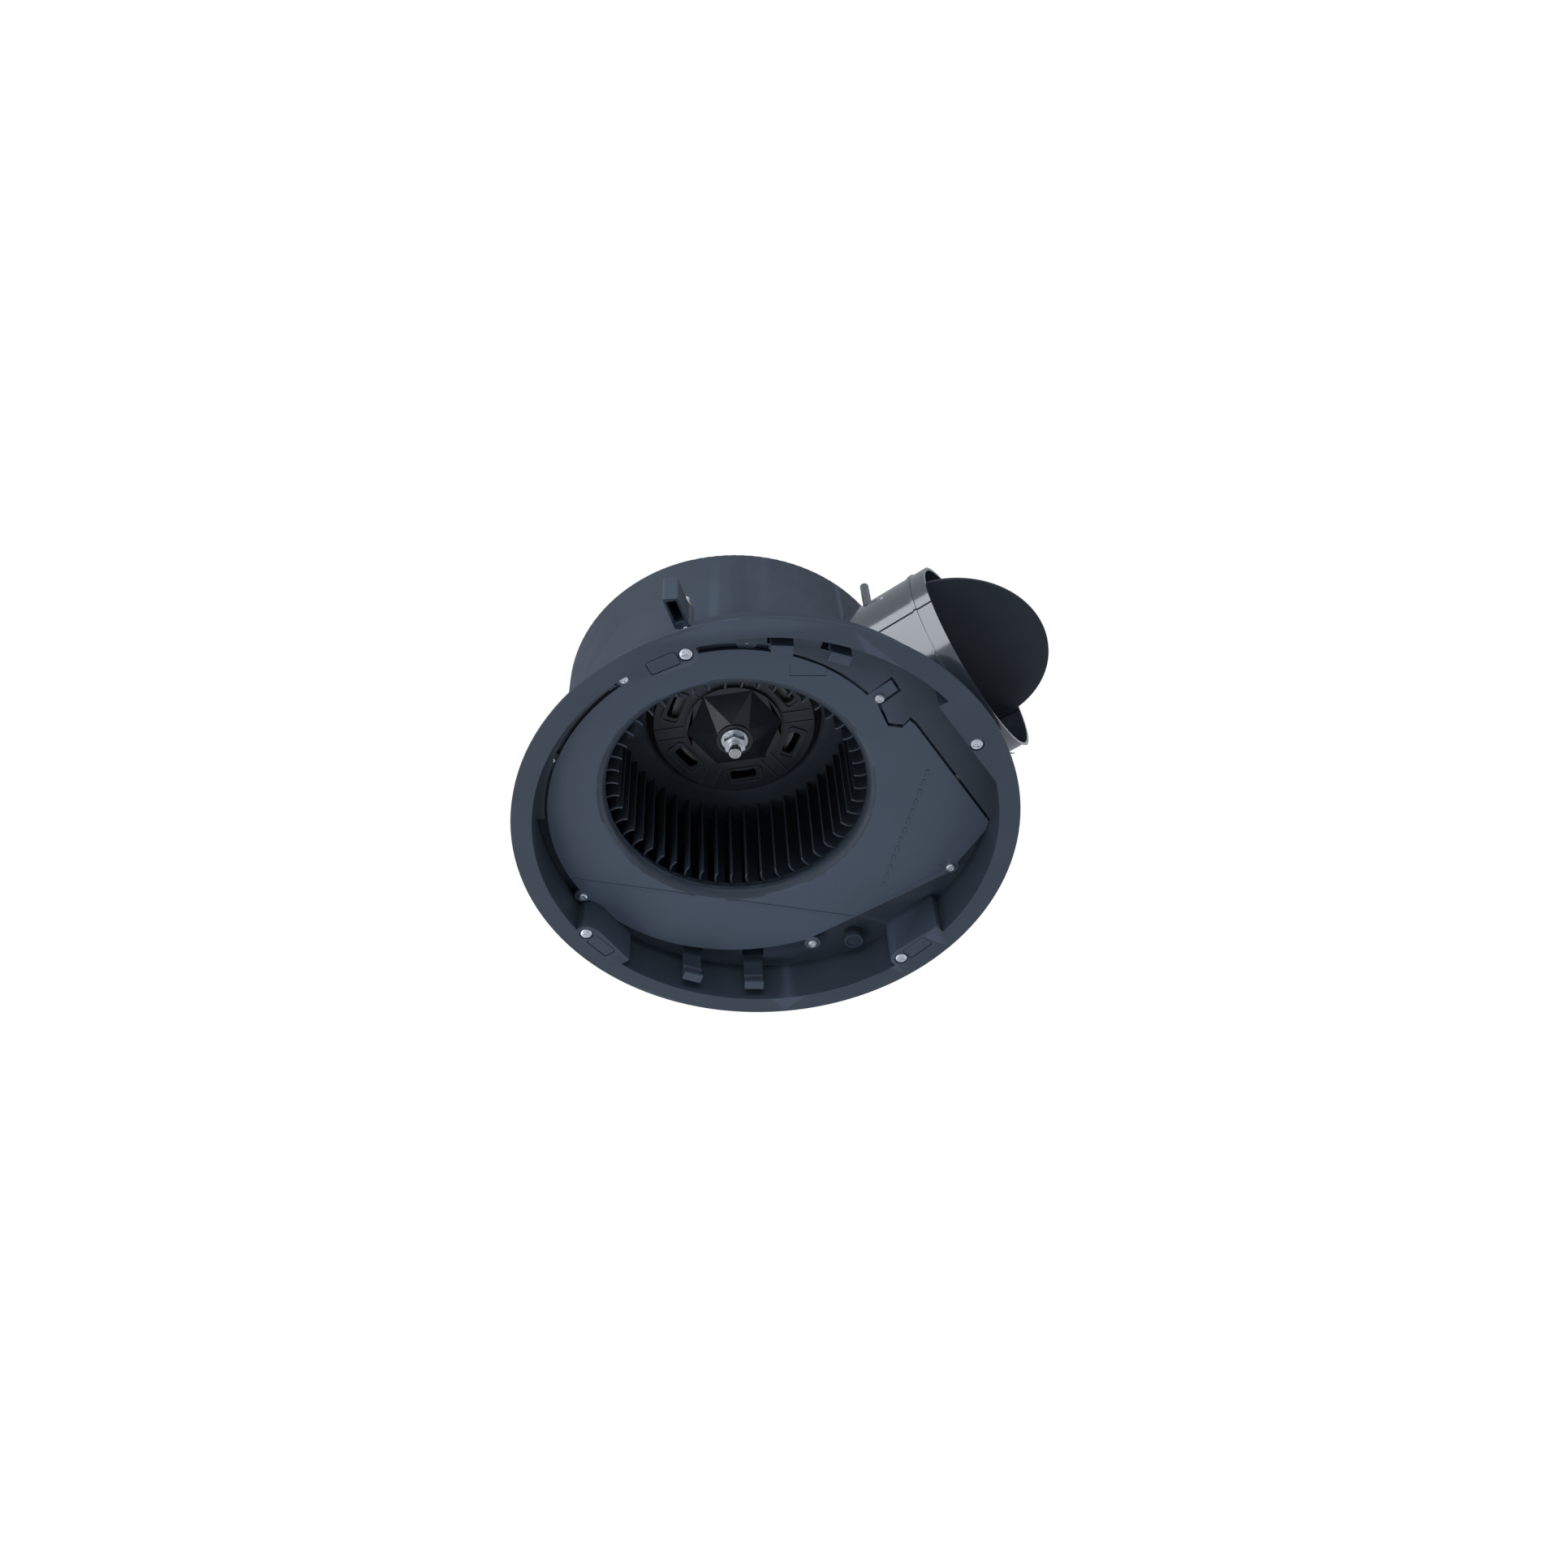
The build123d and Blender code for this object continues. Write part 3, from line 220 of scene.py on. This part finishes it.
SLATE = (0.038, 0.051, 0.072)
SMOOTH_GRAIN = 0.00001
FINISHES = {
    "slate_plastic": moulded("slate_moulding", SLATE, 0.50),
    "plate_plastic": moulded("plate_moulding", scaled(SLATE, 1.02), 0.46, grain=1700.0),
    "casing_plastic": moulded("casing_moulding", scaled(SLATE, 1.1), 0.48, grain=1500.0),
    "gloss_slate": moulded(
        "spigot_moulding", (0.030, 0.038, 0.052), 0.24, grain_depth=0.8 * SMOOTH_GRAIN, coat=1.0, coat_ior=2.4
    ),
    "black_plastic": moulded(
        "black_moulding", (0.020, 0.026, 0.034), 0.30, grain_depth=SMOOTH_GRAIN, specular=0.6
    ),
    "blade_plastic": moulded(
        "blade_moulding", (0.036, 0.048, 0.063), 0.50, grain_depth=SMOOTH_GRAIN, specular=0.3
    ),
    "flap_plastic": moulded("flap_moulding", (0.027, 0.035, 0.046), 0.50, specular=0.3),
    "zinc_steel": metal("zinc_plating", (0.88, 0.91, 0.96), 0.40),
    "clamp_plastic": moulded("clamp_moulding", scaled(SLATE, 1.3), 0.42),
    "brass_bush": metal("turned_brass", (0.78, 0.60, 0.27), 0.30),
    "shaft_steel": metal("ground_steel", (0.72, 0.73, 0.75), 0.22),
    "core_steel": metal("coated_sheet", (0.20, 0.21, 0.22), 0.45, metallic=0.6),
    "copper": metal("enamelled_wire", (0.62, 0.26, 0.11), 0.30, brush=(1.0, 1.0, 40.0), scale=700.0),
    "rubber": moulded("rubber_moulding", (0.018, 0.018, 0.020), 0.62, grain_depth=0.00005),
}

duct = next(mount for mount in record["mounts"] if mount["name"] == "duct_spigot")
add_seam(
    FINISHES["gloss_slate"], axis_y=duct["pos_m"][1], axis_z=duct["pos_m"][2], angle=math.radians(-164.0),
    half_width=0.013, depth=0.0004, tint=(0.004, 0.005, 0.007),
)


# ---- rounded copies of the CAD nodes ------------------------------------------------------------
SLOT_OF = {row["node"]: row["material_slot"] for row in record["subparts"]}
BODY_OF = {node: body for body, nodes in record["behaviour"]["bodies"].items() for node in nodes}
OWN_FINISH = {
    "impeller_blades": "blade_plastic",
    "inlet_plate": "plate_plastic",
    "scroll_casing": "casing_plastic",
    "damper_flap": "flap_plastic",
}
EDGE_WIDTH = {"duct_spigot": 0.0005, "hub_nut": 0.0003, "inlet_plate": 0.0005}
USUAL_EDGE_WIDTH = 0.0004
SCREW_EDGE_WIDTH = 0.00025
EDGE_SEGMENTS = 2
HARD_EDGE = math.radians(28)
FLAT_WITHIN = math.radians(0.4)
MERGE_WITHIN = 2e-6
LARGE_FACE = 0.0001               # joined faces above this area, in square metres, are shaded flat
THREAD_HARD_EDGE = math.radians(50)


def link_mesh(name, mesh):
    obj = bpy.data.objects.new(name, mesh)
    scene.collection.objects.link(obj)
    return obj


def rounded_copy(node):
    """A finer copy of a CAD node: flat faces joined up and every hard edge rounded over."""
    mesh = bpy.data.meshes.new(node + "_fine")
    bm = bmesh.new()
    bm.from_mesh(frame["nodes"][node].data)
    bmesh.ops.remove_doubles(bm, verts=bm.verts, dist=MERGE_WITHIN)
    bmesh.ops.dissolve_limit(
        bm, angle_limit=FLAT_WITHIN, verts=bm.verts, edges=bm.edges, use_dissolve_boundaries=False
    )
    bm.to_mesh(mesh)
    bm.free()
    curved = [len(face.vertices) < 5 or face.area < LARGE_FACE for face in mesh.polygons]
    mesh.polygons.foreach_set("use_smooth", curved)
    mesh.set_sharp_from_angle(angle=HARD_EDGE)
    obj = link_mesh(node + "_fine", mesh)
    bevel = obj.modifiers.new("edges", "BEVEL")
    bevel.width = EDGE_WIDTH.get(node, SCREW_EDGE_WIDTH if "screw" in node else USUAL_EDGE_WIDTH)
    bevel.segments = EDGE_SEGMENTS
    bevel.limit_method = "ANGLE"
    bevel.angle_limit = HARD_EDGE
    bevel.use_clamp_overlap = True
    bevel.harden_normals = True
    weighted = obj.modifiers.new("normals", "WEIGHTED_NORMAL")
    weighted.keep_sharp = True
    weighted.weight = 80
    return obj


# ---- threaded clamp screws ----------------------------------------------------------------------
SIDES = 24
SHANK_R = 0.0020
HEAD_H = 0.0023
PLAIN_NECK = 0.004                # smooth shank between the head and the thread
PLAIN_TIP = 0.0006                # and above the thread
TIP_SHARE = 0.7
PITCH, THREAD_DEPTH = 0.0007, 0.0003
ROWS_PER_TURN = 6
FADE_ROWS = 2 * ROWS_PER_TURN     # rows over which the thread grows and dies away
CROSS_NARROW = 0.34               # radius of the cross recess between its arms, as a share
RECESS_CURVE = ((0.10, 0.00152), (0.52, 0.00132), (0.60, 0.00012))    # share of head radius, height
HEAD_CURVE = ((0.80, 0.00002), (0.92, 0.00028), (0.985, 0.0008), (1.0, 0.0014), (1.0, HEAD_H))


def thread_radii(z, grown):
    """Radii round the shank at a height: the groove winds up by one pitch a turn."""
    phases = [(z / PITCH - side / SIDES) % 1.0 for side in range(SIDES)]
    return [SHANK_R - THREAD_DEPTH * grown * abs(2 * phase - 1) for phase in phases]


def threaded_screw(node):
    """Pan-head screw that points up, with a cross recess and a rolled thread."""
    low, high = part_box(node)
    centre_x, centre_y = (low.x + high.x) / 2, (low.y + high.y) / 2
    head_r = (high.x - low.x) / 2
    turns = [2 * math.pi * side / SIDES for side in range(SIDES)]
    quarter = SIDES // 4
    cross = [1.0 if side % quarter in (0, 1, quarter - 1) else CROSS_NARROW for side in range(SIDES)]
    bm = bmesh.new()
    rings = []

    def add_ring(radii, z):
        rings.append([
            bm.verts.new((centre_x + radius * math.cos(turn), centre_y + radius * math.sin(turn), z))
            for radius, turn in zip(radii, turns)
        ])

    for share, rise in RECESS_CURVE:
        add_ring([head_r * share * reach for reach in cross], low.z + rise)
    for share, rise in HEAD_CURVE:
        add_ring([head_r * share] * SIDES, low.z + rise)
    thread_low = low.z + HEAD_H + PLAIN_NECK
    add_ring([SHANK_R] * SIDES, low.z + HEAD_H)
    add_ring([SHANK_R] * SIDES, thread_low)
    rows = int((high.z - PLAIN_TIP - thread_low) / PITCH * ROWS_PER_TURN)
    for row in range(1, rows):
        z = thread_low + row * PITCH / ROWS_PER_TURN
        grown = min(1.0, row / FADE_ROWS, (rows - row) / FADE_ROWS)
        add_ring(thread_radii(z, grown), z)
    add_ring([SHANK_R * TIP_SHARE] * SIDES, high.z)

    for lower, upper in zip(rings, rings[1:]):
        for side in range(SIDES):
            after = (side + 1) % SIDES
            bm.faces.new((lower[side], lower[after], upper[after], upper[side]))
    bm.faces.new(rings[0])
    bm.faces.new(rings[-1])
    bmesh.ops.recalc_face_normals(bm, faces=bm.faces)
    for face in bm.faces:
        face.smooth = True
    for edge in bm.edges:
        edge.smooth = edge.calc_face_angle(0.0) <= THREAD_HARD_EDGE
    mesh = bpy.data.meshes.new(node + "_threaded")
    bm.to_mesh(mesh)
    bm.free()
    return link_mesh(node + "_threaded", mesh)


for node in frame["nodes"]:
    piece = threaded_screw(node) if node.startswith("clamp_screw_") else rounded_copy(node)
    finish = OWN_FINISH.get(node, SLOT_OF[node])
    piece.data.materials.append(FINISHES[finish].material)
    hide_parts(node)
    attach(piece, BODY_OF[node])


# ---- camera -------------------------------------------------------------------------------------
CAMERA_AT = Vector((0.285734, -0.460432, -0.648021))
AZIMUTH, ELEVATION, ROLL = math.radians(33.0), math.radians(52.572), math.radians(-2.640)
SENSOR_WIDTH, FOCAL_LENGTH = 36.0, 32.294
SHIFT_X, SHIFT_Y = 0.02504, -0.00597

camera_data = bpy.data.cameras.new("camera")
camera_data.sensor_width = SENSOR_WIDTH
camera_data.lens = FOCAL_LENGTH
camera_data.shift_x = SHIFT_X
camera_data.shift_y = SHIFT_Y
camera_data.clip_start = 0.01
camera_data.clip_end = 50.0
camera = bpy.data.objects.new("camera", camera_data)
scene.collection.objects.link(camera)
look = Vector(
    (-math.sin(AZIMUTH) * math.cos(ELEVATION), math.cos(AZIMUTH) * math.cos(ELEVATION), math.sin(ELEVATION))
)
level = Vector((math.cos(AZIMUTH), math.sin(AZIMUTH), 0.0))
upright = level.cross(look)
right = level * math.cos(ROLL) + upright * math.sin(ROLL)
up = upright * math.cos(ROLL) - level * math.sin(ROLL)
camera.matrix_world = Matrix.Translation(CAMERA_AT) @ Matrix((right, up, -look)).transposed().to_4x4()
scene.camera = camera


# ---- studio lights and background ---------------------------------------------------------------
LIGHTS_AIM_AT = Vector((0.0, 0.0, 0.05))
WHITE = (1.0, 1.0, 1.0)
COOL = (0.94, 0.97, 1.0)


def softbox(name, toward, distance, size, power, colour):
    data = bpy.data.lights.new(name, "AREA")
    data.shape = "RECTANGLE"
    data.size, data.size_y = size
    data.energy = power
    data.color = colour
    obj = bpy.data.objects.new(name, data)
    scene.collection.objects.link(obj)
    obj.visible_camera = False
    aim = Vector(toward).normalized()
    obj.location = LIGHTS_AIM_AT + aim * distance
    obj.rotation_mode = "QUATERNION"
    obj.rotation_quaternion = aim.to_track_quat("Z", "Y")


softbox("key", (-0.18, -0.95, 0.10), distance=1.7, size=(1.0, 2.4), power=12.0, colour=(0.90, 0.96, 1.0))
softbox("front", (0.55, -0.82, -0.16), distance=1.7, size=(1.0, 0.5), power=7.0, colour=COOL)
softbox("eye", (-0.42, -0.38, -0.82), distance=1.6, size=(0.4, 0.4), power=2.6, colour=COOL)
softbox("left", (-0.75, 0.10, -0.65), distance=1.6, size=(0.8, 0.8), power=4.5, colour=(0.96, 0.98, 1.0))
softbox("right", (0.35, 0.75, -0.55), distance=1.7, size=(0.8, 0.8), power=4.5, colour=COOL)
softbox("back", (-0.3, 0.9, 0.9), distance=1.8, size=(1.4, 1.0), power=9.0, colour=WHITE)


def studio_world():
    """Soft cool light from all round, and a plain white background for the camera."""
    world = bpy.data.worlds.new("studio")
    world.use_nodes = True
    nodes, links = world.node_tree.nodes, world.node_tree.links
    ambient = nodes["Background"]
    ambient.inputs["Color"].default_value = (0.86, 0.92, 1.0, 1.0)
    ambient.inputs["Strength"].default_value = 0.38
    backdrop = nodes.new("ShaderNodeBackground")
    backdrop.inputs["Color"].default_value = (*WHITE, 1.0)
    backdrop.inputs["Strength"].default_value = 1.0
    path = nodes.new("ShaderNodeLightPath")
    choice = nodes.new("ShaderNodeMixShader")
    links.new(path.outputs["Is Camera Ray"], choice.inputs["Fac"])
    links.new(ambient.outputs["Background"], choice.inputs[1])
    links.new(backdrop.outputs["Background"], choice.inputs[2])
    links.new(choice.outputs["Shader"], nodes["World Output"].inputs["Surface"])
    return world


scene.world = studio_world()
scene.view_settings.view_transform = "Standard"


# ---- floor --------------------------------------------------------------------------------------
FLOOR_HALF = 2.5
FLOOR_GAP = 0.0004                # how far the floor lies below the part
FLOOR_GREY = 0.80
FLOOR_ROUGHNESS = 0.8


def one_way_material():
    """Pale and matte from above, and clear from below, where the camera looks up at the part."""
    shader = Shader("pale_floor")
    shader.fix("Base Color", (FLOOR_GREY, FLOOR_GREY, FLOOR_GREY, 1.0))
    shader.fix("Roughness", FLOOR_ROUGHNESS)
    clear = shader.nodes.new("ShaderNodeBsdfTransparent")
    geometry = shader.nodes.new("ShaderNodeNewGeometry")
    choice = shader.nodes.new("ShaderNodeMixShader")
    shader.links.new(geometry.outputs["Backfacing"], choice.inputs["Fac"])
    shader.links.new(shader.bsdf.outputs["BSDF"], choice.inputs[1])
    shader.links.new(clear.outputs["BSDF"], choice.inputs[2])
    shader.links.new(choice.outputs["Shader"], shader.nodes["Material Output"].inputs["Surface"])
    return shader.material


floor_mesh = bpy.data.meshes.new("floor")
floor_z = cad_low.z - FLOOR_GAP
corners = [(x * FLOOR_HALF, y * FLOOR_HALF, floor_z) for x, y in ((-1, -1), (1, -1), (1, 1), (-1, 1))]
floor_mesh.from_pydata(corners, [], [(0, 1, 2, 3)])
floor_mesh.materials.append(one_way_material())
floor = link_mesh("floor", floor_mesh)
floor.visible_diffuse = False
floor.visible_glossy = False
floor.visible_shadow = False
